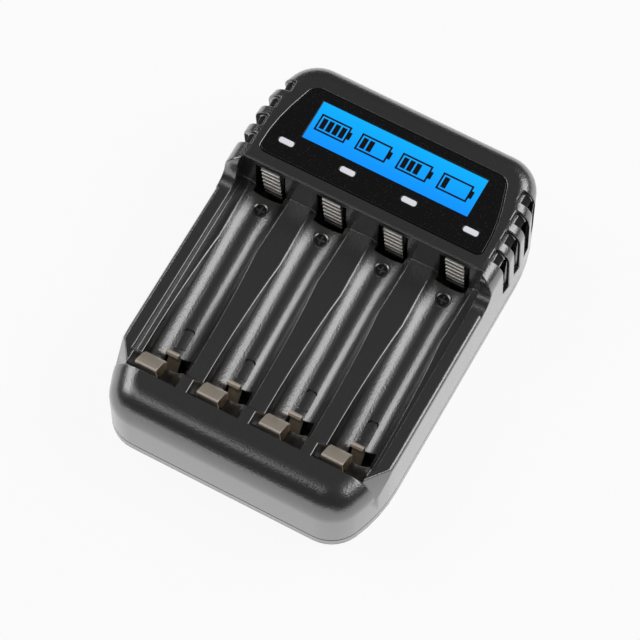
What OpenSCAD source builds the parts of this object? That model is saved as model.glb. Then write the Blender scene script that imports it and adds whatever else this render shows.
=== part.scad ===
// Four-bay charger for AA and AAA cells, with a display block at the back.
// Millimetres. +Z up, +Y towards the display, origin at the bottom centre.

/* [Housing] */
// Length of the display block, from the bays' back wall to the rear
display_l = 30.9; // [30:0.1:36]
// Length of the bays, from the back wall to the front block
bay_l = 50.1; // [49.5:0.1:54]
// Length of the front block at the deck
front_l = 16.8; // [16.4:0.1:20]
// Height of the display block
display_h = 26.5; // [26:0.1:30]
// Height of the front block
front_h = 20; // [19.6:0.1:21]
// Height of the side rims
rim_h = 18.3; // [17.8:0.1:18.6]
// Width of the side rims
rim_w = 3.5; // [3.3:0.1:5]
// Radius of the upright corners, seen from above
corner_r = 9; // [8:0.5:10]
// Radius of the long curve that leads the sides into the corners
flank_r = 36; // [30:1:60]
// Angle that this long curve turns through
flank_turn = 23; // [15:1:25]
// Wall of the upper housing
wall = 2; // [1.8:0.1:2.2]
// Radius of the front block's long top edge
front_round = 7; // [5:0.5:7.5]
// Radius of the front block's side edges
front_side_round = 7; // [6:0.1:7.5]
// Radius of the display block's top edges
display_round = 4.5; // [4:0.1:5]
// Radius of the rims' outer edges
rim_round = 1; // [0.5:0.1:1.5]
// Radius of the hollow curve from the rim up to the display block
cheek_hollow = 4.3; // [4:0.1:4.5]
// Radius of the round at the top of that curve
cheek_round = 2.3; // [2:0.1:2.5]
// Height that the ramps gain from the rims up to the front block
ramp_rise = 1.2; // [0.8:0.1:1.4]
// Angle that the facet beside each ramp faces up by
facet_pitch = 22; // [18:1:26]
// Angle that this facet is turned to the front by
facet_turn = 31; // [25:1:35]
// Height of the lower housing's outer wall
parting_h = 2.6; // [2.4:0.1:3]
// Shut line between the two housings
shut_gap = 0.15; // [0.1:0.05:0.2]
// Floor of the lower housing
floor_t = 1.8; // [1.6:0.1:2]

/* [Cell bays] */
// Distance between the bays' centre lines
bay_pitch = 16; // [16:0.1:18]
// Half the width of an outer bay, on the rim's side
bay_half = 7.35; // [7.3:0.05:8]
// Height of the ridges at the back wall
deck_back_h = 15.6; // [15.4:0.1:15.8]
// Height of the ridges at the front block
deck_front_h = 14.4; // [14.2:0.1:14.6]
// Radius of the trough for the larger cell
aa_r = 7.5; // [7.4:0.05:7.6]
// Height of the larger cell's axis
aa_axis_h = 21; // [20.9:0.05:21.2]
// Radius of the groove for the smaller cell
aaa_r = 5.85; // [5.6:0.05:6]
// Tilt of the groove
groove_tilt = 8; // [7:0.5:8.5]
// Distance from the back wall to where the groove begins
groove_run_in = 10.7; // [9:0.1:14]
// Radius of the notch in the front block
notch_r = 6.7; // [6.4:0.1:7]
// Depth of the notch behind the front block's foot
notch_depth = 5.9; // [5.7:0.1:6.1]
// Slope of the front block's inner face, along Y
front_slant = 2.4; // [2:0.1:3]

/* [Contacts] */
// Thickness of the contact strip
strip_t = 0.4; // [0.3:0.05:0.5]
// Width of the larger cell's negative contact
aa_contact_w = 5.5; // [5:0.1:5.6]
// Sideways offset of that contact from the bay's centre
aa_contact_x = -2.05; // [-2.2:0.05:-1.9]
// Setback of that contact's face behind the front block's foot
aa_setback = 0.8; // [0.7:0.1:1]
// How far its knee stands out towards the cell
aa_knee = 1; // [0.8:0.1:1.1]
// Width of the smaller cell's negative contact
aaa_contact_w = 3.2; // [2.6:0.1:3.4]
// Stand-off of that contact's face in front of the front block's foot
aaa_standoff = 4.5; // [4.3:0.1:4.7]
// Height of the top of that contact
aaa_contact_h = 13; // [12.6:0.1:13.3]
// Width of the positive contact
plus_w = 6.6; // [6:0.1:7]
// Height of the top of the positive contact
plus_top = 24.1; // [23.8:0.1:24.3]
// Angle that the positive contact leans by
plus_lean = 5; // [4:0.2:6]
// Width of the contact's pressed ribs
rib_w = 4.8; // [4:0.1:5.5]
// Distance between the ribs of the positive contact
rib_pitch = 2.15; // [1.9:0.05:2.2]
// Number of ribs
rib_count = 7; // [5:1:7]
// Depth of the slot in front of the positive contact
plus_slot = 1.6; // [1.4:0.1:1.8]
// Gap around each contact
contact_gap = 0.3; // [0.25:0.05:0.35]

/* [Display] */
// Thickness of the display lens
lens_t = 1.2; // [1:0.1:1.3]
// Gap around the lens
lens_gap = 0.12; // [0.1:0.02:0.2]
// Distance from the bays' back wall to the lens
lens_setback = 3.1; // [2.9:0.1:3.4]
// Length of the lens
lens_l = 20.6; // [20.4:0.1:21]
// Width of the lens at its front
lens_w = 57.8; // [57:0.2:58.4]
// Width of the lens at its back
lens_back_w = 52; // [51:0.2:53]
// Width of the liquid crystal window
lcd_w = 43; // [40:0.5:44]
// Length of the liquid crystal window
lcd_l = 10.6; // [10:0.1:10.8]
// Distance from the bays' back wall to the window
lcd_setback = 10.6; // [10.5:0.1:10.9]
// Length of a light window
lamp_w = 3.7; // [3:0.1:4]
// Width of a light window
lamp_l = 1.4; // [1.2:0.1:1.6]
// Distance from the bays' back wall to the row of light windows
lamp_setback = 7.7; // [7.5:0.1:7.9]

/* [Vents] */
// Width of a vent slot
vent_w = 3.2; // [2.5:0.1:3.6]
// Distance between vent slots
vent_pitch = 5.45; // [5.2:0.05:5.6]
// Distance from the bays' back wall to the first vent slot
vent_setback = 3.4; // [3.2:0.1:3.8]
// Distance from the housing's side to the inner end of a slot
vent_reach = 4.05; // [3.8:0.05:4.6]
// Depth of the slots' inner ends below the top
vent_sill = 1.4; // [0.6:0.1:1.5]
// Height of the slots' lower ends
vent_bottom = 8.7; // [7:0.1:11]

/* [Boards and fasteners] */
// Thickness of a circuit board
board_t = 1.2; // [1:0.1:1.6]
// Height of the main board's underside
board_h = 3; // [2.8:0.1:3.2]
// Height of the display board's underside
display_board_h = 19.2; // [18.8:0.1:19.4]
// Radius of a housing screw's shank
screw_r = 1.2; // [1:0.05:1.4]
// Radius of a housing screw's head
screw_head_r = 2.3; // [2:0.1:2.4]
// Radius of a board screw's shank
board_screw_r = 0.8; // [0.7:0.05:0.9]
// Gap around a screw's shank in its boss
screw_gap = 0.05; // [0.03:0.01:0.1]
// Width of the power inlet's mouth
inlet_w = 7.6; // [7:0.1:8.5]
// Height of the power inlet's shell
inlet_h = 2.7; // [2.5:0.1:3]

/* [Hidden] */

bays = 4;
big = 60;
eps = 0.01;
body_l = display_l + bay_l + front_l;
body_w = (bays - 1) * bay_pitch + 2 * bay_half + 2 * rim_w;
rear_y = body_l / 2;
front_y = -body_l / 2;
back_wall_y = rear_y - display_l;
foot_y = front_y + front_l;
side_x = body_w / 2;
deck_slope = (deck_back_h - deck_front_h) / bay_l;
board_top = board_h + board_t;
display_board_top = display_board_h + board_t;

function bay_x(k) = (k - (bays - 1) / 2) * bay_pitch;
function deck_h(y) = deck_back_h + (y - back_wall_y) * deck_slope;

// Points along an arc round [cx, cy]
function arc(cx, cy, r, from, to, steps) =
    [for (i = [0 : steps]) let (a = from + (to - from) * i / steps) [cx + r * cos(a), cy + r * sin(a)]];

// Rectangle from y0 to y1 with rounded corners
function rounded_plan(w, y0, y1, r, steps = 8) = concat(
    arc(w / 2 - r, y1 - r, r, 0, 90, steps),
    arc(-w / 2 + r, y1 - r, r, 90, 180, steps),
    arc(-w / 2 + r, y0 + r, r, 180, 270, steps),
    arc(w / 2 - r, y0 + r, r, 270, 360, steps));

// Body outline, whose sides run into the corners by a long curve; shrink draws all radii in
function flank(x, y, sx, sy, shrink) =
    let (long_r = flank_r - shrink, short_r = corner_r - shrink, turn = flank_turn,
         cx = x - long_r + (long_r - short_r) * cos(turn), cy = y - short_r,
         long_y = cy - (long_r - short_r) * sin(turn))
    concat(
        [for (p = arc(x - long_r, long_y, long_r, 0, turn, 4)) [sx * p[0], sy * p[1]]],
        [for (i = [1 : 7]) let (a = turn + (90 - turn) * i / 7) [sx * (cx + short_r * cos(a)), sy * (cy + short_r * sin(a))]]);
function backwards(list) = [for (i = [len(list) - 1 : -1 : 0]) list[i]];
function body_plan(x, y0, y1, shrink) = concat(
    flank(x, y1, 1, 1, shrink), backwards(flank(x, y1, -1, 1, shrink)),
    flank(x, -y0, -1, -1, shrink), backwards(flank(x, -y0, 1, -1, shrink)));

// How far a rounded top edge has drawn in at height z
function drawn_in(z, top, r) = z > top - r ? r - sqrt(max(0, r * r - pow(z - top + r, 2))) : 0;

// Strip of one thickness along a bent centre line
function unit(a, b) = (b - a) / norm(b - a);
function left_of(v) = [-v[1], v[0]];
function strip_side(p, i, d) =
    let (last = len(p) - 1,
         before = left_of(i > 0 ? unit(p[i - 1], p[i]) : unit(p[0], p[1])),
         after = left_of(i < last ? unit(p[i], p[i + 1]) : unit(p[last - 1], p[last])))
    p[i] + (before + after) * d / (1 + before * after);
function strip_outline(p, t) = concat(
    [for (i = [0 : len(p) - 1]) strip_side(p, i, t / 2)],
    [for (i = [len(p) - 1 : -1 : 0]) strip_side(p, i, -t / 2)]);

// Side profile in Y and Z, drawn out along X and centred
module across(w) rotate([90, 0, 90]) linear_extrude(height = w, center = true) children();

// Cross section in X and Z, drawn out along Y from y0 to y1
module along(y0, y1) translate([0, y1, 0]) rotate([90, 0, 0]) linear_extrude(height = y1 - y0) children();

// Closed solid through outlines that lie one above another and have the same number of points
module lofted(loops) {
    n = len(loops[0]);
    top = len(loops) - 1;
    polyhedron(
        points = [for (loop = loops) each loop],
        faces = concat(
            [[for (i = [0 : n - 1]) i]],
            [for (j = [0 : top - 1], i = [0 : n - 1])
                let (a = j * n + i, b = j * n + (i + 1) % n)
                each [[a, a + n, b + n], [a, b + n, b]]],
            [[for (i = [n - 1 : -1 : 0]) top * n + i]]));
}

// Block over the body outline with a rounded top edge
module crowned_block(inset, z0, z1, side, front, back, steps) {
    most = max(side, front, back);
    lofted([for (z = concat([z0], [for (i = [0 : steps]) z1 - most + most * sin(90 * i / steps)]))
        let (dx = inset + drawn_in(z, z1, side), dy0 = inset + drawn_in(z, z1, front), dy1 = inset + drawn_in(z, z1, back))
        [for (p = body_plan(side_x - dx, front_y + dy0, rear_y - dy1, min(max(dx, dy0, dy1), corner_r - 1)))
            [p[0], p[1], z]]]);
}

cheek_y = back_wall_y - cheek_hollow - cheek_round;
notch_back_y = foot_y - notch_depth;
notch_side_x = bay_x(bays - 1) + notch_r;

// Front block, which reaches behind its notches only between the ramps;
// inset shrinks it to the inner face of the wall
module front_form(inset, z0) {
    behind_y = foot_y + front_l / 2;
    intersection() {
        crowned_block(inset, z0, front_h - inset, front_side_round - inset, front_round - inset, 0, 6);
        linear_extrude(height = big)
            polygon([[-big, -big], [big, -big], [big, notch_back_y], [notch_side_x, notch_back_y], [notch_side_x, behind_y],
                [-notch_side_x, behind_y], [-notch_side_x, notch_back_y], [-big, notch_back_y]]);
    }
}

// Side rims and everything between the two blocks, with the ramps up to the front block;
// the facet beside each ramp widens to the front
module rim_form(z0) {
    ramp_z = rim_h + ramp_rise;
    intersection() {
        union() {
            intersection() {
                crowned_block(0, z0, rim_h, rim_round, rim_round, rim_round, 4);
                translate([-big, foot_y - 2.9, 0])
                    cube([2 * big, back_wall_y + 8.5 - foot_y, big]);
            }
            intersection() {
                translate([0, 0, z0])
                    linear_extrude(height = ramp_z - z0)
                        polygon(body_plan(side_x, front_y, rear_y, 0));
                across(2 * big)
                    polygon([[notch_back_y - 0.6, -1], [foot_y, -1], [foot_y, rim_h], [notch_back_y, ramp_z],
                        [notch_back_y - 0.6, ramp_z - 1.6]]);
            }
        }
        inside_facet();
        mirror([1, 0, 0])
            inside_facet();
    }
}
module inside_facet() {
    translate([side_x - 0.6 * rim_round, foot_y, rim_h])
        rotate([0, 0, -facet_turn])
            rotate([0, -facet_pitch, 0])
                translate([-4 * big, -2 * big, -2 * big])
                    cube([4 * big, 4 * big, 4 * big]);
}

// Display block, with the cheeks that run down to the rims
module display_form(inset, z0) {
    cheek_top_z = display_h - cheek_round;
    intersection() {
        crowned_block(inset, z0, display_h - inset, display_round - inset, display_round - inset, display_round - inset, 6);
        across(2 * big)
            polygon(concat(
                [[big, -1], [cheek_y, -1]],
                arc(cheek_y, rim_h + cheek_hollow, cheek_hollow, -90, 0, 6),
                arc(back_wall_y, cheek_top_z, cheek_round, 180, 75, 5),
                [[back_wall_y, display_h + 0.06], [big, display_h + 1]]));
    }
}

// Trough and groove of one bay; grow gives the shell below them
module trough(k, grow, y0, y1) {
    translate([bay_x(k), y1, aa_axis_h])
        rotate([90, 0, 0])
            cylinder(r = aa_r + grow, h = y1 - y0, $fn = 96);
}

groove_start_y = back_wall_y - groove_run_in;
groove_start_z = aa_axis_h - aa_r;
module groove(k, grow, length) {
    translate([bay_x(k), groove_start_y, groove_start_z])
        rotate([groove_tilt, 0, 0])
            translate([0, 6, aaa_r])
                rotate([90, 0, 0]) {
                    cylinder(r = aaa_r + grow, h = length, $fn = 96);
                    translate([-aaa_r - grow + 0.05, 0.5, 0])
                        cube([2 * (aaa_r + grow - 0.05), 8, length]);
                }
}
groove_l = (groove_start_y - foot_y) / cos(groove_tilt) + 6;

// Pockets that the negative contacts stand in
aa_face_y = foot_y - aa_setback;
aaa_face_y = foot_y + aaa_standoff;
module contact_pockets(k, z0, z1) {
    reach = contact_gap + strip_t / 2;
    translate([bay_x(k) + aa_contact_x - aa_contact_w / 2 - contact_gap, notch_back_y, z0])
        cube([aa_contact_w + 2 * contact_gap, aa_face_y + aa_knee + reach - notch_back_y, z1 - z0]);
    translate([bay_x(k) - aaa_contact_w / 2 - contact_gap - 0.2, foot_y - 0.6, z0])
        cube([aaa_contact_w + 3.2, aaa_face_y + contact_gap - foot_y + 0.6, z1 - 6 - z0]);
}

// Small sunk panel in the groove's floor, just behind the smaller cell's contact
panel_w = 2.6;
panel_l = 5;
module floor_panel(k) {
    translate([bay_x(k) - panel_w / 2, aaa_face_y + 2.6, 0])
        linear_extrude(height = groove_start_z - 0.2)
            polygon([[0, 0], [panel_w, 0], [panel_w, panel_l - 0.6], [panel_w - 0.6, panel_l],
                [0.6, panel_l], [0, panel_l - 0.6]]);
}
module floor_panel_cut(k) {
    intersection() {
        floor_panel(k);
        groove(k, 0.5, groove_l);
    }
}

// Everything cut for the cells, the deck down to the ridges first
module bay_cuts() {
    front_top_y = foot_y - front_slant;
    across(body_w - 2 * rim_w)
        polygon([[back_wall_y, deck_back_h], [foot_y, deck_front_h], [front_top_y, front_h],
            [front_top_y, big], [back_wall_y, big]]);
    for (k = [0 : bays - 1]) {
        trough(k, 0, foot_y - 0.9, back_wall_y);
        groove(k, 0, groove_l);
        translate([bay_x(k), foot_y, aa_axis_h])
            rotate([90, 0, 0])
                cylinder(r = notch_r, h = notch_depth, $fn = 96);
        contact_pockets(k, 0, aa_axis_h);
        floor_panel_cut(k);
        plus_window(k);
    }
}

// Window in the back wall that the positive contact stands in, with a slot in the floor before it
module plus_window(k) {
    w = plus_w + 3 * contact_gap;
    translate([bay_x(k) - w / 2, back_wall_y - plus_slot, 0])
        cube([w, wall + plus_slot + 0.2, plus_top + contact_gap]);
}

// Hollow under the deck, which keeps an even wall below troughs, grooves and pockets
module deck_hollow() {
    block_front_y = notch_back_y - wall;
    difference() {
        intersection() {
            across(body_w - 2 * wall)
                polygon([[block_front_y, -eps], [back_wall_y + wall, -eps],
                    [back_wall_y + wall, deck_h(back_wall_y + wall) - wall],
                    [block_front_y, deck_h(block_front_y) - wall]]);
            translate([0, 0, -1])
                linear_extrude(height = big)
                    polygon(body_plan(side_x - wall, front_y + wall, rear_y - wall, wall));
        }
        for (k = [0 : bays - 1]) {
            trough(k, wall, block_front_y - 1, back_wall_y + wall + 1);
            groove(k, wall, groove_l + 12);
            translate([bay_x(k) - aa_contact_w / 2 - 4, block_front_y - 1, 5.6])
                cube([aa_contact_w + 7.2, aaa_face_y + wall - block_front_y + 1, 10]);
        }
    }
}

// Lens outline: straight front and back, sides bowed out and drawn in to the back
lens_y0 = back_wall_y + lens_setback;
lens_y1 = lens_y0 + lens_l;
function lens_outline(grow) =
    let (f = 1.6 + grow, b = 3 + grow, xf = lens_w / 2 - 1.6, xb = lens_back_w / 2 - 3,
         yf = lens_y0 + 1.6, yb = lens_y1 - 3, bow = 1.1,
         side = [for (t = [0.25, 0.5, 0.75]) [xf + (xb - xf) * t + (f + (b - f) * t) + bow * 4 * t * (1 - t) * 0.75,
             yf + (yb - yf) * t]],
         right = concat(arc(xf, yf, f, -90, 6, 6), side, arc(xb, yb, b, 18, 90, 6)))
    concat(right, [for (i = [len(right) - 1 : -1 : 0]) [-right[i][0], right[i][1]]]);

lcd_y0 = back_wall_y + lcd_setback;
lcd_y1 = lcd_y0 + lcd_l;
lamp_y = back_wall_y + lamp_setback;
lcd_margin = 1.1;
lcd_top = display_h - lens_t - 0.1;
module lens_seat() {
    translate([0, 0, display_h - lens_t])
        linear_extrude(height = 2)
            polygon(lens_outline(lens_gap));
    translate([-lcd_w / 2 - 2.4, lamp_y - 1.6, display_h - wall - 1])
        cube([lcd_w + 4.8, lcd_y1 + lcd_margin + 0.4 - lamp_y + 1.6, wall + 1]);
    for (k = [0, bays - 1])
        translate([bay_x(k) - lamp_w / 2 - 1, lamp_y - 1.6, display_h - wall - 1])
            cube([lamp_w + 2, 3.2, wall + 1]);
}

// Slots over the shoulders of the display block: a rounded sill inside, then open down the side
vent_count = 4;
flank_y = rear_y - corner_r - (flank_r - corner_r) * sin(flank_turn);
function vent_x(i) =
    let (y = back_wall_y + vent_setback + vent_w / 2 + i * vent_pitch, dy = max(0, y - flank_y))
    side_x - dy * dy / flank_r / 2 - vent_reach;
module vent_cut(i) {
    y = back_wall_y + vent_setback + i * vent_pitch;
    x = vent_x(i);
    sill_r = 2.2;
    sill_z = display_h - vent_sill - sill_r;
    lean = 0.9;
    intersection() {
        along(y - 1, y + vent_w + lean + 1)
            polygon(concat([[x, display_h + 1]], arc(x + 0.3, sill_z, sill_r, 90, 0, 5),
                [[x + 1.4, sill_z - 0.8], [x + 1.4, 0], [x + 10, 0], [x + 10, display_h + 1]]));
        rotate([90, 0, 90])
            linear_extrude(height = big)
                polygon([[y, display_h + 2], [y, sill_z], [y + lean, vent_bottom + 1.7], [y + lean + vent_w, vent_bottom],
                    [y + vent_w, sill_z], [y + vent_w, display_h + 2]]);
        linear_extrude(height = big)
            translate([0, y + vent_w / 2])
                polygon(concat(arc(x + 0.7, vent_w / 2 - 0.7, 0.7, 90, 180, 3), arc(x + 0.7, 0.7 - vent_w / 2, 0.7, 180, 270, 3),
                    [[x + 3, -vent_w / 2], [x + 3, -vent_w], [x + 12, -vent_w], [x + 12, vent_w], [x + 3, vent_w],
                        [x + 3, vent_w / 2]]));
    }
}

inlet_z = board_top;
module inlet_mouth(grow, y0, y1) {
    chamfer = 0.8;
    w = inlet_w / 2 + grow;
    z0 = inlet_z - grow;
    z1 = inlet_z + inlet_h + grow;
    along(y0, y1)
        polygon([[w - chamfer, z0], [w, z0 + chamfer], [w, z1], [-w, z1], [-w, z0 + chamfer], [-w + chamfer, z0]]);
}

// Places of the housing screws and of the display board's posts
boss_r = 2.9;
boss_x = side_x - 8.6;
boss_y = [front_y + 7.4, rear_y - 7.4];
column_top = board_top + 0.4;
screw_places = [for (x = [-boss_x, boss_x], y = boss_y) [x, y]];
post_r = 1.9;
post_x = lens_w / 2 - 1.9;
post_places = [for (x = [-post_x, post_x], y = [lens_y0 + 8, lens_y0 + 14]) [x, y]];

// One moulding in black satin plastic, open below
module upper_housing() color([0.10, 0.10, 0.105]) {
    difference() {
        union() {
            difference() {
                union() {
                    front_form(0, parting_h + shut_gap);
                    rim_form(parting_h + shut_gap);
                    display_form(0, parting_h + shut_gap);
                }
                intersection() {
                    front_form(wall, -eps);
                    translate([-big, -big, -1])
                        cube([2 * big, big + notch_back_y - wall + eps, big]);
                }
                intersection() {
                    display_form(wall, -eps);
                    translate([-big, back_wall_y + wall - eps, -1])
                        cube([2 * big, big, big]);
                }
                deck_hollow();
            }
            for (p = screw_places)
                translate([p[0], p[1], column_top + 0.1])
                    cylinder(r = boss_r, h = (p[1] < 0 ? front_h : display_h) - wall * 0.9 - column_top - 0.1, $fn = 48);
            for (p = post_places)
                translate([p[0], p[1], display_board_top])
                    cylinder(r = post_r, h = display_h - lens_t - 0.3 - display_board_top, $fn = 32);
        }
        bay_cuts();
        lens_seat();
        for (i = [0 : vent_count - 1], side = [0, 1])
            mirror([side, 0, 0])
                vent_cut(i);
        inlet_mouth(0.25, rear_y - wall - 1, rear_y + 1);
        for (p = screw_places)
            translate([p[0], p[1], 0])
                cylinder(r = screw_r + screw_gap, h = 13, $fn = 32);
        for (p = post_places)
            translate([p[0], p[1], 0])
                cylinder(r = board_screw_r + screw_gap, h = display_board_top + 3, $fn = 24);
    }
}

// Shallow tray that closes the housing from below, with a lip inside the upper one
lip_gap = 0.2;
lip_t = 1.2;
module tray_plan(inset, h)
    linear_extrude(height = h)
        polygon(body_plan(side_x - inset, front_y + inset, rear_y - inset, inset));

board_screw_places = [[-bay_pitch, 0], [bay_pitch, 0]];
module lower_housing() color([0.11, 0.11, 0.115]) {
    base_round = 0.4;
    lip_in = wall + lip_gap;
    difference() {
        union() {
            lofted([for (q = [[base_round, 0], [base_round * 0.3, base_round * 0.3], [0, base_round], [0, parting_h]])
                [for (p = body_plan(side_x - q[0], front_y + q[0], rear_y - q[0], q[0])) [p[0], p[1], q[1]]]]);
            tray_plan(lip_in, parting_h + 1.6);
        }
        translate([0, 0, floor_t])
            tray_plan(lip_in + lip_t, big);
        inlet_mouth(0.6, rear_y - wall - lip_gap - lip_t - 1, rear_y - 0.5);
        for (i = [-4 : 4])
            translate([i * 5 - 0.9, 8, -1])
                linear_extrude(height = floor_t + 2)
                    polygon([for (q = rounded_plan(1.8, 0, 14, 0.85, 3)) q + [0.9, 0]]);
        for (p = screw_places)
            translate([p[0], p[1], -1])
                cylinder(r = screw_head_r + 0.3, h = big, $fn = 48);
    }
    for (p = screw_places)
        translate([p[0], p[1], 0])
            difference() {
                cylinder(r = screw_head_r + 1.2, h = column_top, $fn = 48);
                translate([0, 0, -1])
                    cylinder(r = screw_head_r + 0.3, h = 3.3, $fn = 48);
                cylinder(r = screw_r + 0.2, h = big, $fn = 32);
            }
    difference() {
        for (y = [foot_y + 6, foot_y + 22, back_wall_y + 12])
            translate([-side_x + 8, y, floor_t - eps])
                cube([body_w - 16, 1.2, board_h - floor_t + eps]);
        for (i = [-4 : 4])
            translate([i * 5 - 1.8, 6, 0])
                cube([3.6, 18, big]);
    }
    for (p = board_screw_places)
        translate([p[0], p[1], floor_t - eps])
            difference() {
                cylinder(r = 2.2, h = board_h - floor_t + eps, $fn = 32);
                translate([0, 0, -floor_t / 2])
                    cylinder(r = board_screw_r + screw_gap, h = big, $fn = 24);
            }
}

// Light window outline, centred
module lamp_shape(grow, h)
    linear_extrude(height = h)
        polygon(rounded_plan(lamp_w + 2 * grow, -lamp_l / 2 - grow, lamp_l / 2 + grow, 0.5 + grow, 3));

// Smoked panel flush in the top, open over the display and the light guides
module display_lens() color([0.05, 0.05, 0.055]) {
    difference() {
        translate([0, 0, display_h - lens_t])
            linear_extrude(height = lens_t)
                polygon(lens_outline(0));
        translate([-lcd_w / 2, lcd_y0, 0])
            cube([lcd_w, lcd_l, big]);
        for (k = [0 : bays - 1])
            translate([bay_x(k), lamp_y, 0])
                lamp_shape(0.06, big);
    }
}

backlight_top = lcd_top - 1.8;
// Glass cell of the display, with its cover glass standing in the lens opening
module lcd_panel() color([0.07, 0.62, 1.0]) {
    translate([-lcd_w / 2 - 1.8, lcd_y0 - lcd_margin, backlight_top])
        cube([lcd_w + 3.6, lcd_l + 2 * lcd_margin, 1.8]);
    translate([-lcd_w / 2 + 0.06, lcd_y0 + 0.06, lcd_top - eps])
        cube([lcd_w - 0.12, lcd_l - 0.12, lens_t]);
}

// White light-spreading block behind the glass
module lcd_backlight() color([0.93, 0.94, 0.95]) {
    translate([-lcd_w / 2 - 1.5, lcd_y0 - lcd_margin, display_board_top])
        cube([lcd_w + 3, lcd_l - 0.6, backlight_top - display_board_top]);
}

// Rubber strip that joins the glass to the display board
module lcd_connector() color([0.75, 0.45, 0.55]) {
    translate([-lcd_w / 2 + 1, lcd_y1 - 1, display_board_top])
        cube([lcd_w - 2, 1.8, backlight_top - display_board_top]);
}

// Carries the glass, the lamps and the keying of the display
module display_board() color([0.06, 0.32, 0.18]) {
    back_part_y = lens_y1 - 5;
    difference() {
        union() {
            translate([-post_x - post_r - 0.5, lens_y0 + 1, display_board_h])
                cube([2 * (post_x + post_r + 0.5), back_part_y - lens_y0 - 1, board_t]);
            translate([-boss_x + boss_r + 0.3, back_part_y - eps, display_board_h])
                cube([2 * (boss_x - boss_r - 0.3), lens_y1 + 1.4 - back_part_y, board_t]);
        }
        for (p = post_places)
            translate([p[0], p[1], 0])
                cylinder(r = board_screw_r + 0.15, h = big, $fn = 24);
    }
}

// Fills the floor of the housing and carries contacts, inlet and charging parts
module main_board() color([0.06, 0.32, 0.18]) {
    edge = wall + lip_gap + lip_t + 0.4;
    difference() {
        translate([0, 0, board_h])
            linear_extrude(height = board_t)
                polygon(body_plan(side_x - edge, front_y + edge, rear_y - edge, edge));
        for (p = screw_places)
            translate([p[0], p[1], 0])
                cylinder(r = screw_head_r + 1.5, h = big, $fn = 48);
        for (p = board_screw_places)
            translate([p[0], p[1], 0])
                cylinder(r = board_screw_r + 0.15, h = big, $fn = 24);
    }
}

// Flat jumper between the two boards
module board_link() color([0.85, 0.85, 0.82]) {
    y = lens_y1;
    translate([-8, y, board_top])
        cube([16, 0.8, display_board_h - board_top]);
}

// Clear bar that carries a lamp's light up to the lens
module light_guide(k) color([0.93, 0.94, 0.97]) {
    bottom = display_board_top + 1.1;
    translate([bay_x(k), lamp_y, bottom])
        lamp_shape(0, display_h - 0.05 - bottom);
    translate([bay_x(k), lamp_y, lcd_top - 1])
        lamp_shape(0.35, 1);
}

module lamp(k) color([0.95, 0.95, 0.88]) {
    translate([bay_x(k) - 1, lamp_y - 0.6, display_board_top])
        cube([2, 1.2, 0.8]);
}

// Strip in the back wall that leans with the smaller cell, ribs pressed into it, foot on the main board
module positive_contact(k) color([0.72, 0.70, 0.66]) {
    length = (plus_top - board_top) / cos(plus_lean);
    rib_r = rib_pitch * 0.36;
    translate([bay_x(k), back_wall_y + 0.25, plus_top])
        rotate([plus_lean, 0, 0]) {
            translate([-plus_w / 2, 0, 0.7 - rib_pitch * rib_count - 1])
                cube([plus_w, strip_t, rib_pitch * rib_count + 0.3]);
            translate([-plus_w / 4, 0, -length])
                cube([plus_w / 2, strip_t, length - 2]);
            for (i = [0 : rib_count - 1])
                translate([0, 0.12, -0.75 - rib_pitch * i])
                    across(rib_w)
                        polygon(arc(0, 0, rib_r, 90, 270, 6));
        }
}

// Leaf for the larger cell: foot, back leg, ramp sloping down to the cell, and the free face
aa_root = [foot_y - 3.4, board_top + 0.5];
aa_top_z = front_h - 0.1;
module aa_negative_contact(k) color([0.72, 0.68, 0.62]) {
    face_y = aa_face_y - strip_t / 2;
    line = concat(
        [aa_root + [-1.2, 0], aa_root + [-0.4, 0], aa_root + [0, 0.5]],
        arc(foot_y - 4.3, aa_top_z - 0.7, 0.4, 180, 70, 4),
        [[face_y - 0.35, aa_top_z - 2.2]],
        arc(face_y + aa_knee - 0.6, aa_top_z - 4.4, 0.6, 30, -25, 3),
        [[face_y - 0.1, 12], [face_y - 0.6, 9.6]]);
    translate([bay_x(k) + aa_contact_x, 0, 0])
        across(aa_contact_w)
            polygon(strip_outline(line, strip_t));
}

// Narrow leaf for the smaller cell, with a hooked top
aaa_root = [foot_y + 2.4, board_top + 0.5];
module aaa_negative_contact(k) color([0.72, 0.68, 0.62]) {
    face_y = aaa_face_y - strip_t / 2;
    line = concat(
        [aaa_root + [-1.4, 0], aaa_root + [-0.4, 0], aaa_root + [0, 0.5], [face_y, 8.4]],
        arc(face_y - 0.5, aaa_contact_h - 0.7, 0.5, 0, 110, 5),
        [[face_y - 1.1, aaa_contact_h - 0.7]]);
    translate([bay_x(k), 0, 0])
        across(aaa_contact_w)
            polygon(strip_outline(line, strip_t));
}

// Metal socket on the main board, its mouth in the rear wall
module power_inlet() color([0.75, 0.75, 0.76]) {
    y0 = rear_y - 6.2;
    y1 = rear_y - 0.6;
    difference() {
        inlet_mouth(0, y0, y1);
        inlet_mouth(-0.3, y0 + 0.5, y1 + 1);
    }
    translate([-inlet_w / 2 + 1.7, y0 + 0.4, inlet_z + inlet_h / 2 - 0.1])
        cube([inlet_w - 3.4, y1 - y0 - 1.4, 0.7]);
}

module charge_controller() color([0.12, 0.12, 0.13]) {
    x = -21;
    y = back_wall_y + 13;
    translate([x - 3.5, y, board_top + 0.15])
        cube([7, 7, 1.1]);
    for (i = [0 : 7], side = [-1, 1])
        translate([x + side * 4 - 0.5, y + 0.5 + i * 0.8, board_top])
            cube([1, 0.4, 0.5]);
}

// Square drum coil: two flanges and a wound core
module charge_coil(k) color([0.20, 0.20, 0.22]) {
    translate([bay_x(k) + 3, back_wall_y + 8, board_top]) {
        translate([-3.2, -3.2, 0])
            cube([6.4, 6.4, 0.9]);
        cylinder(r = 2.5, h = 3.4, $fn = 32);
        translate([0, 0, 3.3])
            cylinder(r = 3.1, h = 0.8, $fn = 32);
    }
}

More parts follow.
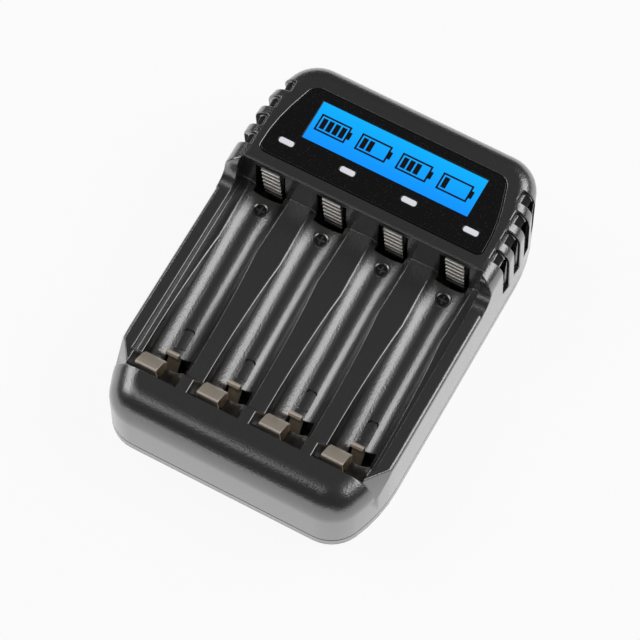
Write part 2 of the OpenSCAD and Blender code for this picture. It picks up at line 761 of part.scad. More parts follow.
module charge_transistor(k) color([0.13, 0.13, 0.14]) {
    translate([bay_x(k) - 4.6, back_wall_y + 6, board_top]) {
        translate([-1.6, 0, 0.1])
            cube([3.2, 4.2, 1.3]);
        translate([-1.2, -0.8, 0])
            cube([2.4, 5.8, 0.25]);
    }
}

module supply_capacitor(side) color([0.62, 0.64, 0.67]) {
    translate([side * bay_pitch * 0.75, rear_y - 8.4, board_top]) {
        cylinder(r = 3.1, h = 7.4, $fn = 40);
        translate([-3.3, -3.3, 0])
            cube([6.6, 6.6, 0.8]);
    }
}

// Round-headed screw standing head down, with a cross recess
module screw(head_r, shank_r, head_h, length) {
    difference() {
        union() {
            cylinder(r = head_r, h = head_h, $fn = 32);
            cylinder(r = shank_r, h = length, $fn = 24);
        }
        for (a = [0, 90])
            rotate([0, 0, a])
                translate([-head_r * 0.6, -0.2, -eps])
                    cube([head_r * 1.2, 0.4, head_h * 0.5]);
    }
}

module housing_screws() color([0.55, 0.55, 0.57]) {
    for (p = screw_places)
        translate([p[0], p[1], 0.7])
            screw(screw_head_r, screw_r, 1.6, 10);
}

// Four screws hold the display board up to its posts, two hold the main board down
module board_screws() color([0.55, 0.55, 0.57]) {
    for (p = post_places)
        translate([p[0], p[1], display_board_h - 0.9])
            screw(1.5, board_screw_r, 0.9, 4.4);
    for (p = board_screw_places)
        translate([p[0], p[1], board_top + 0.9])
            mirror([0, 0, 1])
                screw(1.5, board_screw_r, 0.9, 3);
}

upper_housing();
lower_housing();
display_lens();
lcd_panel();
lcd_backlight();
lcd_connector();
display_board();
main_board();
board_link();
for (k = [0 : bays - 1]) {
    light_guide(k);
    lamp(k);
    positive_contact(k);
    aa_negative_contact(k);
    aaa_negative_contact(k);
    charge_coil(k);
    charge_transistor(k);
}
power_inlet();
charge_controller();
supply_capacitor(-1);  // supply_capacitor_1
supply_capacitor(1);  // supply_capacitor_2
housing_screws();
board_screws();
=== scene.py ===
"""Dresses the four-bay battery charger: a finish for every piece, its display's content and a studio."""

import math

import bmesh
import bpy
from bpy.props import FloatProperty, FloatVectorProperty, IntProperty, PointerProperty
from mathutils import Matrix, Vector
from mathutils.bvhtree import BVHTree


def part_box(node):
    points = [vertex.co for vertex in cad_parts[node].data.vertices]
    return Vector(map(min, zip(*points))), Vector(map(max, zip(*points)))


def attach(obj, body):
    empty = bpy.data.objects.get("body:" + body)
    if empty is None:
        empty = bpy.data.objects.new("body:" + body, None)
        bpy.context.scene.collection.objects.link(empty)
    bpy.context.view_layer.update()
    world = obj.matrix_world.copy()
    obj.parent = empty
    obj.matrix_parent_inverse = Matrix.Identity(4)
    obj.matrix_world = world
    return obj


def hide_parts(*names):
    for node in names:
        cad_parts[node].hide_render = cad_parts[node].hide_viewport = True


bl_info = {
    "name": "Battery charger",
    "version": (1, 0, 0),
    "blender": (4, 5, 0),
    "location": "View3D > Sidebar > Charger",
    "description": "Finishes, display content and studio for a four-bay battery charger",
    "category": "Object",
}

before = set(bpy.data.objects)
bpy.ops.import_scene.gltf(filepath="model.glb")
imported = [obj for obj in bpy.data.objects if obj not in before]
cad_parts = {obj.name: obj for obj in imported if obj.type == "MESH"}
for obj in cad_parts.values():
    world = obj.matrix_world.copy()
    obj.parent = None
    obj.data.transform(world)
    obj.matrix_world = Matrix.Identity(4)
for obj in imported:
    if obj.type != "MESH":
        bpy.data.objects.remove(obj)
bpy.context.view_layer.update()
MM = 0.001
BODY = "charger"
BAYS = (1, 2, 3, 4)
MERGE = 0.002 * MM  # Points of the CAD mesh nearer than this are one
LEVELS = (4, 2, 3, 1)  # Bars that the gauges show, from the left bay to the right

# Name, place, size and radiance of each lamp; all of them face the middle of the charger
LAMPS = (
    ("back right softbox", (0.66, 0.49, 0.75), (1.04, 0.72), 2.7),
    ("left softbox", (-0.75, -0.03, 0.67), (0.7, 0.44), 2.7),
    ("low front panel", (0.0, -1.3, 0.16), (1.8, 0.22), 1.2),
    ("overhead strip", (-0.32, -0.25, 0.93), (0.42, 0.2), 1.2),
)
SKY_STRENGTH = 0.08

# The camera's place, axes and lens, fitted to the photograph's edges
CAMERA_PLACE = Vector((0.1742, -0.3204, 0.7781))
CAMERA_AXES = (
    Vector((0.8772, 0.4801, 0.0)),
    Vector((-0.4345, 0.7939, 0.4254)),
    Vector((0.2042, -0.3732, 0.9050)),
)
CAMERA_LENS = 207.3


def linear(code):
    """Linear colour of an sRGB hex value."""
    parts = [int(code[start : start + 2], 16) / 255 for start in (1, 3, 5)]
    return tuple(part / 12.92 if part <= 0.04045 else ((part + 0.055) / 1.055) ** 2.4 for part in parts)


def colour_property(name, description, code):
    """A colour that the panel shows, given as sRGB hex."""
    return FloatVectorProperty(name=name, description=description, subtype="COLOR", size=3, min=0, max=1,
                               default=linear(code))


def size_property(name, description, millimetres):
    """A length that the panel shows, given in millimetres."""
    return FloatProperty(name=name, description=description, subtype="DISTANCE", unit="LENGTH", min=0,
                         default=millimetres * MM)


class ChargerColours(bpy.types.PropertyGroup):
    """Colours of the charger's finishes."""

    housing: colour_property("Housing", "Black moulded plastic of both housings", "#1A1A1B")
    lens: colour_property("Lens", "Smoked panel round the display", "#161617")
    speckle: colour_property("Speckle", "Fine dust-like flecks printed under the lens", "#4A4A4E")
    screen_far: colour_property("Screen, far side", "Backlit blue at the display's far edge", "#12B5FF")
    screen_near: colour_property("Screen, near side", "Backlit blue at the display's near edge", "#1490FF")
    segment: colour_property("Segments", "Dark liquid crystal segments", "#141018")
    # The light windows' colour also tints their painted glow.
    lamp: colour_property("Light windows", "Milky ends of the light guides", "#EEF0F6")
    contact: colour_property("Contacts", "Nickel plating with a warm tint", "#EFE3D3")
    # The rib colours are painted light: the crests' colour is the nickel lightened as a painted highlight,
    # the gaps' colour is painted shade.
    rib_crest_painted_highlight: colour_property("Rib crests", "Nickel on the crests of the pressed ribs, lightened as a painted highlight", "#FFFBF4")
    rib_gap_painted_shade: colour_property("Rib gaps", "Painted shade between the pressed ribs", "#0B0A09")


class ChargerSizes(bpy.types.PropertyGroup):
    """Sizes of what is drawn on the charger."""

    edge: size_property("Edge rounding", "Radius of the housings' moulded edges", 0.2)
    lens_edge: size_property("Lens edge", "Radius of the lens's polished edge", 0.2)
    cut_edge: size_property("Cut edge", "Radius of the contact strip's cut edges", 0.09)
    rib_height: size_property("Rib height", "From the ribs' crests down to where they are darkest", 0.56)
    rib_fade: size_property("Rib fade", "Depth over which the ribs darken", 0.2)
    vent_width: size_property("Vent width", "Greatest width of a side vent", 3.2)
    plate_lean: FloatProperty(name="Plate lean", description="Angle that a ribbed plate leans back by",
                              subtype="ANGLE", unit="ROTATION", default=math.radians(5))
    mark_radius: size_property("Mark radius", "Outer radius of the ring round a plus mark", 2.05)
    mark_line: size_property("Mark line", "Width of the lines of a plus mark", 0.6)
    mark_setback: size_property("Mark setback", "From the lens to the centre of a plus mark", 8.2)
    mark_height: size_property("Mark height", "How far a plus mark stands out of the floor", 0.22)
    trough_radius: size_property("Trough radius", "Radius of the trough for the larger cell", 7.5)
    trough_axis: size_property("Trough axis", "Height of the larger cell's axis", 21)
    gauge_width: size_property("Gauge width", "Length of a battery gauge on the display", 8.6)
    gauge_height: size_property("Gauge height", "Height of a battery gauge on the display", 4.6)
    gauge_pitch: size_property("Gauge pitch", "From one battery gauge to the next", 10.6)
    gauge_nose: size_property("Gauge nose", "Length of the nose on a battery gauge", 0.7)
    gauge_line: size_property("Gauge line", "Width of the outline of a battery gauge", 0.45)
    gauge_gap: size_property("Gauge gap", "Gap round each bar of a battery gauge", 0.4)
    gauge_bars: IntProperty(name="Gauge bars", description="Bars in a full battery gauge", min=1, max=6,
                            default=4)


def colours():
    """The scene's colours."""
    return bpy.context.scene.charger_colours


def sizes():
    """The scene's sizes."""
    return bpy.context.scene.charger_sizes


def add_node(material, kind, settings=None, links=None):
    """Adds a node with its socket values or attributes, and links its inputs from outputs.

    A Mix node's two colours are its sockets 6 and 7, and its output 2.
    """
    node = material.node_tree.nodes.new(kind)
    for key, value in (settings or {}).items():
        if isinstance(key, int) or key in node.inputs:
            node.inputs[key].default_value = value
        else:
            setattr(node, key, value)
    for key, source in (links or {}).items():
        material.node_tree.links.new(source, node.inputs[key])
    return node


def new_material(name, **shader):
    """Node material with one Principled shader; returns it and the shader."""
    material = bpy.data.materials.new(name)
    material.use_nodes = True
    principled = material.node_tree.nodes["Principled BSDF"]
    for key, value in shader.items():
        principled.inputs[key.replace("_", " ").title().replace("Ior", "IOR")].default_value = value
    return material, principled


def rgba(colour):
    """The colour with full alpha."""
    return (*colour, 1.0)


def moulded_abs():
    """ABS out of a spark-eroded mould: satin, with broad highlights that its grain mottles."""
    material, shader = new_material("moulded black ABS", base_color=rgba(colours().housing), roughness=0.3,
                                    ior=1.54, specular_ior_level=1.0, coat_weight=1.0, coat_roughness=0.24,
                                    coat_ior=2.1)
    place = add_node(material, "ShaderNodeTexCoord").outputs["Object"]
    # The real grain is near 0.1 mm; it is drawn at 0.45 mm, or it would not show.
    grain = add_node(material, "ShaderNodeTexNoise", {"Scale": 1 / (0.45 * MM), "Detail": 2.0},
                     {"Vector": place})
    bump = add_node(material, "ShaderNodeBump", {"Strength": 0.8, "Distance": 0.06 * MM},
                    {"Height": grain.outputs["Fac"]})
    material.node_tree.links.new(bump.outputs["Normal"], shader.inputs["Normal"])
    material.node_tree.links.new(bump.outputs["Normal"], shader.inputs["Coat Normal"])
    return material


def matt_abs_and_vent_shade():
    """The same ABS with weak, dull reflections: flat black with no highlights, as painted shade inside the
    vents and as a matt field round the plus marks.
    """
    return new_material("matt black ABS and painted vent shade", base_color=rgba(colours().housing), roughness=0.7, ior=1.54,
                        specular_ior_level=0.25)[0]


def smoked_acrylic():
    """Polished acrylic, printed black from below: a mirror gloss over fine light flecks."""
    material, shader = new_material("smoked acrylic", roughness=0.08, ior=1.49)
    place = add_node(material, "ShaderNodeTexCoord").outputs["Object"]
    # Flecks of about 0.15 mm, one in each cell of 0.55 mm
    flecks = add_node(material, "ShaderNodeTexVoronoi", {"Scale": 1 / (0.55 * MM)}, {"Vector": place})
    is_fleck = add_node(material, "ShaderNodeMath", {"operation": "LESS_THAN", 1: 0.14},
                        {0: flecks.outputs["Distance"]})
    tint = add_node(material, "ShaderNodeMix", {"data_type": "RGBA", 6: rgba(colours().lens),
                                                7: rgba(colours().speckle)}, {0: is_fleck.outputs[0]})
    material.node_tree.links.new(tint.outputs[2], shader.inputs["Base Color"])
    return material


def backlit_glass():
    """Blue backlight through a liquid crystal cell: even light, a little deeper at the near side."""
    low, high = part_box("lcd_panel")
    material, shader = new_material("backlit blue glass", base_color=(0, 0, 0, 1), roughness=0.2, ior=1.5,
                                    specular_ior_level=0.15, emission_strength=1.0)
    place = add_node(material, "ShaderNodeTexCoord").outputs["Object"]
    axes = add_node(material, "ShaderNodeSeparateXYZ", links={"Vector": place})
    along = add_node(material, "ShaderNodeMapRange", {"From Min": low.y, "From Max": high.y},
                     {"Value": axes.outputs["Y"]})
    blue = add_node(material, "ShaderNodeMix", {"data_type": "RGBA", 6: rgba(colours().screen_near),
                                                7: rgba(colours().screen_far)}, {0: along.outputs["Result"]})
    material.node_tree.links.new(blue.outputs[2], shader.inputs["Emission Color"])
    return material


def segment_ink():
    """Liquid crystal segments, which show as flat dark shapes."""
    return new_material("liquid crystal segment", base_color=rgba(colours().segment), roughness=0.3)[0]


def milky_polycarbonate_painted_glow():
    """Milky polycarbonate, which scatters light inside it; a weak painted glow stands in for that light and
    keeps it softly white even where it lies in shade.
    """
    return new_material("milky polycarbonate with painted glow", base_color=rgba(colours().lamp), roughness=0.25, ior=1.58,
                        emission_color=rgba(colours().lamp), emission_strength=0.25)[0]


def plated_strip():
    """Spring strip plated with nickel: warm reflections, blurred by the drawing lines along the strip."""
    material, shader = new_material("nickel-plated strip", base_color=rgba(colours().contact), metallic=0.85)
    place = add_node(material, "ShaderNodeTexCoord").outputs["Object"]
    # Drawing lines lie about 0.2 mm apart and run along the strip.
    lines = add_node(material, "ShaderNodeTexNoise", {"Scale": 1 / (0.2 * MM), "Detail": 1.0})
    stretch = add_node(material, "ShaderNodeMapping", {"Scale": (1.0, 0.05, 0.05)}, {"Vector": place})
    material.node_tree.links.new(stretch.outputs["Vector"], lines.inputs["Vector"])
    rough = add_node(material, "ShaderNodeMapRange", {"To Min": 0.42, "To Max": 0.6},
                     {"Value": lines.outputs["Fac"]})
    material.node_tree.links.new(rough.outputs["Result"], shader.inputs["Roughness"])
    return material


def ribbed_strip():
    """The same strip where it is pressed into ribs, with painted light: crests lightened as a painted
    highlight over gaps blackened as painted shade.
    """
    material, shader = new_material("ribbed nickel-plated strip", metallic=1.0, roughness=0.34)
    low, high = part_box("positive_contact_1")
    lean = math.tan(sizes().plate_lean)
    place = add_node(material, "ShaderNodeTexCoord").outputs["Object"]
    axes = add_node(material, "ShaderNodeSeparateXYZ", links={"Vector": place})
    # How far ahead of the leaning plate a point lies says whether it is in a gap or on a crest; the gaps get
    # painted shade and the crests a painted highlight.
    shift = add_node(material, "ShaderNodeMath", {"operation": "MULTIPLY", 1: -lean}, {0: axes.outputs["Z"]})
    ahead = add_node(material, "ShaderNodeMath", {"operation": "SUBTRACT"},
                     {0: shift.outputs[0], 1: axes.outputs["Y"]})
    darkest = -lean * high.z - low.y - sizes().rib_height
    rise = add_node(material, "ShaderNodeMapRange",
                    {"From Min": darkest, "From Max": darkest + sizes().rib_fade},
                    {"Value": ahead.outputs[0]})
    tint = add_node(material, "ShaderNodeMix", {"data_type": "RGBA", 6: rgba(colours().rib_gap_painted_shade),
                                                7: rgba(colours().rib_crest_painted_highlight)}, {0: rise.outputs["Result"]})
    material.node_tree.links.new(tint.outputs[2], shader.inputs["Base Color"])
    return material


def plain_finish(name, code, metallic=0.0, roughness=0.5):
    """A finish of one colour for pieces inside the housing."""
    return new_material(name, base_color=rgba(linear(code)), metallic=metallic, roughness=roughness)[0]


def dress(node, material):
    """Gives a CAD node, which stays as it is, its finish."""
    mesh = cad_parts[node].data
    mesh.materials.clear()
    mesh.materials.append(material)


def finished_object(name, shape, material, body=BODY):
    """Object at the origin from a bmesh, riding on a body."""
    mesh = bpy.data.meshes.new(name)
    shape.to_mesh(mesh)
    shape.free()
    mesh.materials.append(material)
    piece = bpy.data.objects.new(name, mesh)
    bpy.context.scene.collection.objects.link(piece)
    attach(piece, body)
    return piece


def merged_shape(node, turn, width):
    """The node's mesh, merged, with edges past the turn sharp and weighted by the room for a rounding."""
    flat, room_share = math.radians(0.3), 0.4
    shape = bmesh.new()
    shape.from_mesh(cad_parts[node].data)
    bmesh.ops.remove_doubles(shape, verts=shape.verts, dist=MERGE)
    bmesh.ops.dissolve_degenerate(shape, edges=shape.edges, dist=MERGE)
    bmesh.ops.dissolve_limit(shape, angle_limit=flat, verts=shape.verts, edges=shape.edges)
    weight = shape.edges.layers.float.new("bevel_weight_edge")
    for edge in shape.edges:
        sharp = len(edge.link_faces) != 2 or edge.calc_face_angle(0) > turn
        edge.smooth = not sharp
        if sharp and width:
            # The rounding stays inside the narrower of the two faces.
            start, along = edge.verts[0].co, (edge.verts[1].co - edge.verts[0].co).normalized()
            room = min((max((vert.co - start).cross(along).length for vert in face.verts)
                        for face in edge.link_faces), default=0)
            edge[weight] = min(1, room_share * room / width)
    for face in shape.faces:
        face.smooth = True
    return shape


def rounded_mesh(piece, width, skin, low, high):
    """A copy of the piece's mesh with its weighted edges rounded, kept on the skin and in the box."""
    rounding = piece.modifiers.new("moulded edges", "BEVEL")
    rounding.width = width
    rounding.segments = 2
    rounding.limit_method = "WEIGHT"
    rounding.use_clamp_overlap = False
    rounding.loop_slide = False
    shading = piece.modifiers.new("shading from the large faces", "WEIGHTED_NORMAL")
    shading.keep_sharp = True
    view = bpy.context.evaluated_depsgraph_get()
    rounded = bpy.data.meshes.new_from_object(piece.evaluated_get(view))
    piece.modifiers.clear()
    # A rounded square edge leaves its corner by 0.41 of the radius. Where short edges meet, the
    # rounding overshoots that, and such points go back to the surface.
    furthest = 0.42 * width
    for vert in rounded.vertices:
        near, _, _, gap = skin.find_nearest(vert.co)
        place = near if gap > furthest else vert.co
        vert.co = [min(max(value, least), most) for value, least, most in zip(place, low, high)]
    return rounded


def triangles_astray(mesh, skin, width):
    """Triangles that a rounding has thrown across an opening or folded back over their face."""
    least_area, furthest = 1 * MM * MM, 1.5 * width
    mesh.calc_loop_triangles()
    astray = []
    for triangle in mesh.loop_triangles:
        face = mesh.polygons[triangle.polygon_index]
        folded = triangle.area > least_area and triangle.normal.dot(face.normal) < 0
        if folded or skin.find_nearest(Vector(triangle.center))[3] > furthest:
            astray.append(triangle)
    return astray


def softened_copy(node, name, material, width, body=BODY, turn=math.radians(30)):
    """Stands for a CAD node: its mesh, merged, smooth over its curves and with rounded edges."""
    rounds, reach = 3, 4 * width
    shape = merged_shape(node, turn, width)
    skin = BVHTree.FromBMesh(shape)
    piece = finished_object(name, shape, material, body)
    if width:
        weights = piece.data.attributes["bevel_weight_edge"].data
        for _ in range(rounds):
            rounded = rounded_mesh(piece, width, skin, *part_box(node))
            astray = triangles_astray(rounded, skin, width)
            if not astray:
                break
            # The edges there go without a rounding.
            spots = [rounded.vertices[index].co for triangle in astray for index in triangle.vertices]
            for edge in piece.data.edges:
                ends = [piece.data.vertices[index].co for index in edge.vertices]
                if any((end - spot).length < reach for end in ends for spot in spots):
                    weights[edge.index].value = 0
        piece.data = rounded
    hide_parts(node)
    return piece


def paint_vent_shade(mesh, material):
    """Paints shade inside the vents: the faces there, which walls face on both sides, get a material of
    their own whose dull reflections stand in for the shade of slots that go through.
    """
    lift, vents_ahead = 0.05 * MM, 4 * MM
    mesh.materials.append(material)
    shape = bmesh.new()
    shape.from_mesh(mesh)
    skin = BVHTree.FromBMesh(shape)
    lens_low, lens_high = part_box("display_lens")
    for face in shape.faces:
        centre = face.calc_center_median()
        narrow = min(edge.calc_length() for edge in face.edges) < sizes().edge
        if narrow or abs(centre.x) < lens_high.x or centre.y < lens_low.y - vents_ahead:
            continue
        outside = centre + face.normal * lift
        sides = (Vector((0, -1, 0)), Vector((0, 1, 0)))
        if all(skin.ray_cast(outside, side, sizes().vent_width)[0] for side in sides):
            face.material_index = 1
    shape.to_mesh(mesh)
    shape.free()


def slab(shape, x0, x1, y0, y1, z0, z1):
    """Adds a box to a bmesh."""
    centre = Matrix.Translation(((x0 + x1) / 2, (y0 + y1) / 2, (z0 + z1) / 2))
    size = Matrix.Diagonal((x1 - x0, y1 - y0, z1 - z0, 1))
    bmesh.ops.create_cube(shape, size=1, matrix=centre @ size)


def draw_gauge(shape, x, y, z, level):
    """Adds a battery gauge with some of its bars filled to a bmesh."""
    width, height = sizes().gauge_width, sizes().gauge_height
    nose, line, gap = sizes().gauge_nose, sizes().gauge_line, sizes().gauge_gap
    shoulder, film = height * 0.28, 0.03 * MM
    x0, x1 = x - width / 2, x + width / 2 - nose
    y0, y1 = y - height / 2, y + height / 2
    z0, z1 = z, z + film
    slab(shape, x0, x1, y0, y0 + line, z0, z1)
    slab(shape, x0, x1, y1 - line, y1, z0, z1)
    slab(shape, x0, x0 + line, y0 + line, y1 - line, z0, z1)
    slab(shape, x1 - line, x1, y0 + line, y1 - line, z0, z1)
    slab(shape, x1, x1 + nose, y0 + shoulder, y1 - shoulder, z0, z1)
    pitch = (x1 - x0 - 2 * line - gap) / sizes().gauge_bars
    for bar in range(level):
        left = x0 + line + gap + bar * pitch
        slab(shape, left, left + pitch - gap, y0 + line + gap, y1 - line - gap, z0, z1)


class CHARGER_OT_housing(bpy.types.Operator):
    """Finishes the upper and lower housings in black satin plastic"""

    bl_idname = "charger.housing"
    bl_label = "Housing"

    def execute(self, context):
        plastic = moulded_abs()
        top = softened_copy("upper_housing", "housing_top", plastic, sizes().edge)
        # The dull material inside the vents is painted shade.
        paint_vent_shade(top.data, matt_abs_and_vent_shade())
        softened_copy("lower_housing", "housing_base", plastic, 0)
        return {"FINISHED"}


class CHARGER_OT_display(bpy.types.Operator):
    """Finishes the lens, the lit glass and the light windows, and draws four battery gauges"""

    bl_idname = "charger.display"
    bl_label = "Display"

    def execute(self, context):
        softened_copy("display_lens", "lens", smoked_acrylic(), sizes().lens_edge)
        dress("lcd_panel", backlit_glass())
        # The light windows and lamps get a weak painted glow.
        milky = milky_polycarbonate_painted_glow()
        for bay in BAYS:
            dress(f"light_guide_{bay}", milky)
            dress(f"lamp_{bay}", milky)
        low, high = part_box("lcd_panel")
        shape = bmesh.new()
        for index, level in enumerate(LEVELS):
            x = (index - (len(LEVELS) - 1) / 2) * sizes().gauge_pitch
            draw_gauge(shape, x, (low.y + high.y) / 2, high.z, level)
        finished_object("battery_gauges", shape, segment_ink())
        return {"FINISHED"}


class CHARGER_OT_contacts(bpy.types.Operator):
    """Finishes the ribbed plates and the leaf contacts in nickel-plated strip"""

    bl_idname = "charger.contacts"
    bl_label = "Contacts"

    def execute(self, context):
        # The ribbed plates carry a painted highlight on their crests and painted shade in their gaps.
        strip, ribs = plated_strip(), ribbed_strip()
        edge, slot = sizes().cut_edge, "contact_nickel"
        for bay in BAYS:
            softened_copy(f"positive_contact_{bay}", f"ribbed_plate_{bay}", ribs, edge,
                          turn=math.radians(35))
            softened_copy(f"aa_negative_contact_{bay}", f"leaf_{bay}", strip, edge,
                          f"aa_contact_{bay}")
            softened_copy(f"aaa_negative_contact_{bay}", f"small_leaf_{bay}", strip, edge,
                          f"aaa_contact_{bay}")
        return {"FINISHED"}


def raise_ring(mark, radius, line, height):
    """Adds a ring whose broad inner side slopes gently down towards its middle."""
    # How far in, in widths of the line, and how high the section's corners lie
    section = ((0.3, height), (0.45, height), (1.0, height * 0.35), (1.0, 0))
    bmesh.ops.create_circle(mark, radius=radius, segments=64)
    edges = mark.edges[:]
    for inward, rise in section:
        ring = bmesh.ops.extrude_edge_only(mark, edges=edges)["geom"]
        edges = [item for item in ring if isinstance(item, bmesh.types.BMEdge)]
        for vert in {vert for edge in edges for vert in edge.verts}:
            outward = vert.co.xy.normalized().to_3d()
            vert.co = outward * (radius - line * inward) + Vector((0, 0, rise))


def raise_plus(mark, radius, line, height):
    """Adds a plus with sloping sides inside the ring."""
    arm, half, slope = radius * 0.56, line * 0.5, line * 0.35
    corners = [(half, half), (half, arm), (-half, arm), (-half, half), (-arm, half), (-arm, -half),
               (-half, -half), (-half, -arm), (half, -arm), (half, -half), (arm, -half), (arm, half)]
    face = mark.faces.new([mark.verts.new((x, y, 0)) for x, y in corners])
    raised = bmesh.ops.extrude_face_region(mark, geom=[face])["geom"]
    top = [item for item in raised if isinstance(item, bmesh.types.BMVert)]
    bmesh.ops.translate(mark, verts=top, vec=(0, 0, height))
    rim = [item for item in raised if isinstance(item, bmesh.types.BMEdge)]
    bmesh.ops.bevel(mark, geom=rim, offset=slope, segments=1, affect="EDGES", profile=0.5, material=-1)


def lay_field(mark, radius, height):
    """Adds a matt disc in strips along the bay, so that it can follow the round floor."""
    disc = bmesh.ops.create_circle(mark, cap_ends=True, segments=48, radius=radius)["verts"]
    bmesh.ops.translate(mark, verts=disc, vec=(0, 0, height))
    disc[0].link_faces[0].material_index = 1
    disc.sort(key=lambda vert: vert.co.x)
    for pair in zip(disc[1:-1:2], disc[2:-1:2]):
        bmesh.ops.connect_verts(mark, verts=pair)


class CHARGER_OT_marks(bpy.types.Operator):
    """Raises a plus in a ring on each bay's floor"""

    bl_idname = "charger.marks"
    bl_label = "Plus marks"

    def execute(self, context):
        radius, line, height = sizes().mark_radius, sizes().mark_line, sizes().mark_height
        axis, trough = sizes().trough_axis, sizes().trough_radius
        # The floor's facets stand up to 0.02 mm inside its curve, so the field lies a little above it.
        sunk, field_height = 0.03 * MM, 0.06 * MM
        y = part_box("display_lens")[0].y - sizes().mark_setback
        shape = bmesh.new()
        for bay in BAYS:
            low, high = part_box(f"positive_contact_{bay}")
            centre = Vector(((low.x + high.x) / 2, y, 0))
            mark = bmesh.new()
            raise_ring(mark, radius, line, height)
            raise_plus(mark, radius, line, height)
            lay_field(mark, radius - line, field_height)
            for vert in mark.verts:
                floor = axis - math.sqrt(trough * trough - vert.co.x * vert.co.x) - sunk
                vert.co += centre + Vector((0, 0, floor))
            mesh = bpy.data.meshes.new("mark")
            mark.to_mesh(mesh)
            mark.free()
            shape.from_mesh(mesh)
            bpy.data.meshes.remove(mesh)
        bmesh.ops.recalc_face_normals(shape, faces=shape.faces)
        marks = finished_object("plus_marks", shape, moulded_abs())
        marks.data.materials.append(matt_abs_and_vent_shade())
        return {"FINISHED"}


class CHARGER_OT_inside(bpy.types.Operator):
    """Finishes boards, charging parts, screws and the power inlet"""

    bl_idname = "charger.inside"
    bl_label = "Inside"

    def execute(self, context):
        laminate = plain_finish("dark green board laminate", "#10261A", roughness=0.35)
        epoxy = plain_finish("moulded epoxy", "#1C1C1E", roughness=0.55)
        ferrite = plain_finish("ferrite", "#2B2B2E", roughness=0.7)
        zinc = plain_finish("zinc-plated steel", "#A9AAAC", metallic=1.0, roughness=0.35)
        tin = plain_finish("tinned sheet steel", "#C4C5C7", metallic=1.0, roughness=0.25)
        can = plain_finish("bare aluminium can", "#B9BCC0", metallic=1.0, roughness=0.4)
        white = plain_finish("white polystyrene", "#ECEDEE", roughness=0.5)
        ribbon = plain_finish("ribbon insulation", "#D8D8D2", roughness=0.5)
        rubber = plain_finish("layered rubber", "#B07C8C", roughness=0.8)
        finishes = {
            "main_board": laminate, "display_board": laminate, "charge_controller": epoxy,
            "power_inlet": tin, "supply_capacitor_1": can, "supply_capacitor_2": can,
            "lcd_backlight": white, "lcd_connector": rubber, "board_link": ribbon,
            "housing_screws": zinc, "board_screws": zinc,
        }
        for bay in BAYS:
            finishes[f"charge_coil_{bay}"] = ferrite
            finishes[f"charge_transistor_{bay}"] = epoxy
        for node, finish in finishes.items():
            dress(node, finish)
        return {"FINISHED"}


def area_light(name, place, aim, size, radiance):
    """Soft rectangular lamp aimed at a point."""
    light = bpy.data.lights.new(name, "AREA")
    light.shape = "RECTANGLE"
    light.size, light.size_y = size
    light.energy = radiance * math.pi * size[0] * size[1]
    lamp = bpy.data.objects.new(name, light)
    lamp.location = place
    lamp.rotation_euler = (Vector(aim) - Vector(place)).to_track_quat("-Z", "Y").to_euler()
    bpy.context.scene.collection.objects.link(lamp)


def paper_floor():
    """Matt white paper that the camera and reflections see as white, under the object's shadow."""
    material, shader = new_material("white paper", base_color=(0.9, 0.9, 0.9, 1), roughness=1.0,
                                    specular_ior_level=0.0)
    path = add_node(material, "ShaderNodeLightPath")
    seen = add_node(material, "ShaderNodeMath", {"operation": "MAXIMUM"},
                    {0: path.outputs["Is Camera Ray"], 1: path.outputs["Is Glossy Ray"]})
    seen = add_node(material, "ShaderNodeMath", {"operation": "MAXIMUM"},
                    {0: seen.outputs[0], 1: path.outputs["Is Transmission Ray"]})
    # The last part shows the paper itself, which takes the object's shadow.
    share = add_node(material, "ShaderNodeMath", {"operation": "MULTIPLY", 1: 0.92}, {0: seen.outputs[0]})
    glow = add_node(material, "ShaderNodeEmission", {"Color": (1, 1, 1, 1), "Strength": 1.0})
    mix = add_node(material, "ShaderNodeMixShader", links={"Fac": share.outputs[0]})
    material.node_tree.links.new(shader.outputs[0], mix.inputs[1])
    material.node_tree.links.new(glow.outputs[0], mix.inputs[2])
    output = material.node_tree.nodes["Material Output"]
    material.node_tree.links.new(mix.outputs[0], output.inputs["Surface"])
    return material


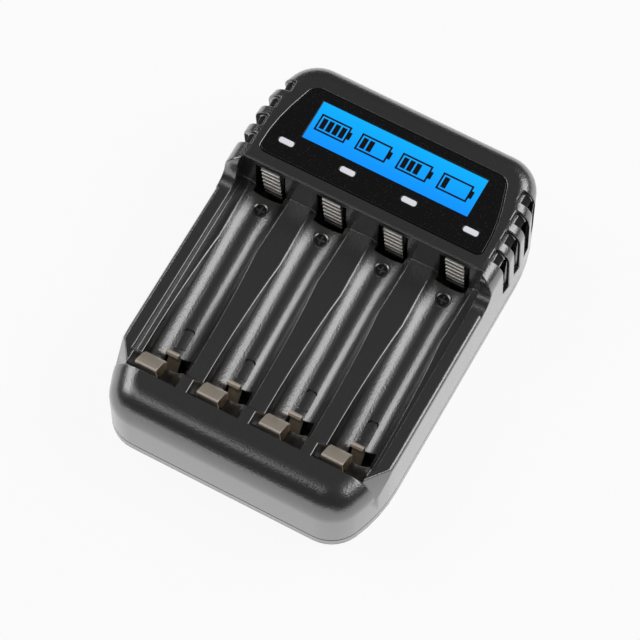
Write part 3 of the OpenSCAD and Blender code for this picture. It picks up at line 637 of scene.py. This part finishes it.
class CHARGER_OT_stage(bpy.types.Operator):
    """Sets up the floor, the studio light and the camera"""

    bl_idname = "charger.stage"
    bl_label = "Stage"

    def execute(self, context):
        scene = context.scene
        ground = bmesh.new()
        bmesh.ops.create_grid(ground, x_segments=1, y_segments=1, size=3)
        mesh = bpy.data.meshes.new("floor")
        ground.to_mesh(mesh)
        ground.free()
        mesh.materials.append(paper_floor())
        floor = bpy.data.objects.new("floor", mesh)
        scene.collection.objects.link(floor)
        floor.location.z = -0.01 * MM  # Clear of the charger's flat underside

        world = bpy.data.worlds.new("studio")
        world.use_nodes = True
        sky = world.node_tree.nodes["Background"]
        sky.inputs["Color"].default_value = (1, 1, 1, 1)
        sky.inputs["Strength"].default_value = SKY_STRENGTH
        scene.world = world
        middle = (0, 0, 0.015)
        for name, place, size, radiance in LAMPS:
            area_light(name, place, middle, size, radiance)

        camera = bpy.data.cameras.new("camera")
        camera.sensor_width = 36
        camera.lens = CAMERA_LENS
        camera.clip_start = 0.05
        camera.clip_end = 20
        view = bpy.data.objects.new("camera", camera)
        turn = Matrix(CAMERA_AXES).transposed().to_4x4()
        view.matrix_world = Matrix.Translation(CAMERA_PLACE) @ turn
        scene.collection.objects.link(view)
        scene.camera = view
        scene.view_settings.view_transform = "Standard"
        return {"FINISHED"}


class CHARGER_PT_panel(bpy.types.Panel):
    """Lists the charger's pieces, colours and sizes"""

    bl_idname = "CHARGER_PT_panel"
    bl_label = "Battery charger"
    bl_space_type = "VIEW_3D"
    bl_region_type = "UI"
    bl_category = "Charger"

    def draw(self, context):
        for group in (context.scene.charger_colours, context.scene.charger_sizes):
            box = self.layout.box()
            for name in group.__annotations__:
                box.prop(group, name)
        for operator in OPERATORS:
            self.layout.operator(operator.bl_idname)


OPERATORS = (
    CHARGER_OT_housing,
    CHARGER_OT_display,
    CHARGER_OT_contacts,
    CHARGER_OT_marks,
    CHARGER_OT_inside,
    CHARGER_OT_stage,
)
CLASSES = (ChargerColours, ChargerSizes, *OPERATORS, CHARGER_PT_panel)


def register():
    for cls in CLASSES:
        bpy.utils.register_class(cls)
    bpy.types.Scene.charger_colours = PointerProperty(type=ChargerColours)
    bpy.types.Scene.charger_sizes = PointerProperty(type=ChargerSizes)


def unregister():
    del bpy.types.Scene.charger_sizes
    del bpy.types.Scene.charger_colours
    for cls in reversed(CLASSES):
        bpy.utils.unregister_class(cls)


def main():
    register()
    bpy.ops.charger.housing()
    bpy.ops.charger.display()
    bpy.ops.charger.contacts()
    bpy.ops.charger.marks()
    bpy.ops.charger.inside()
    bpy.ops.charger.stage()


if __name__ == "__main__":
    main()
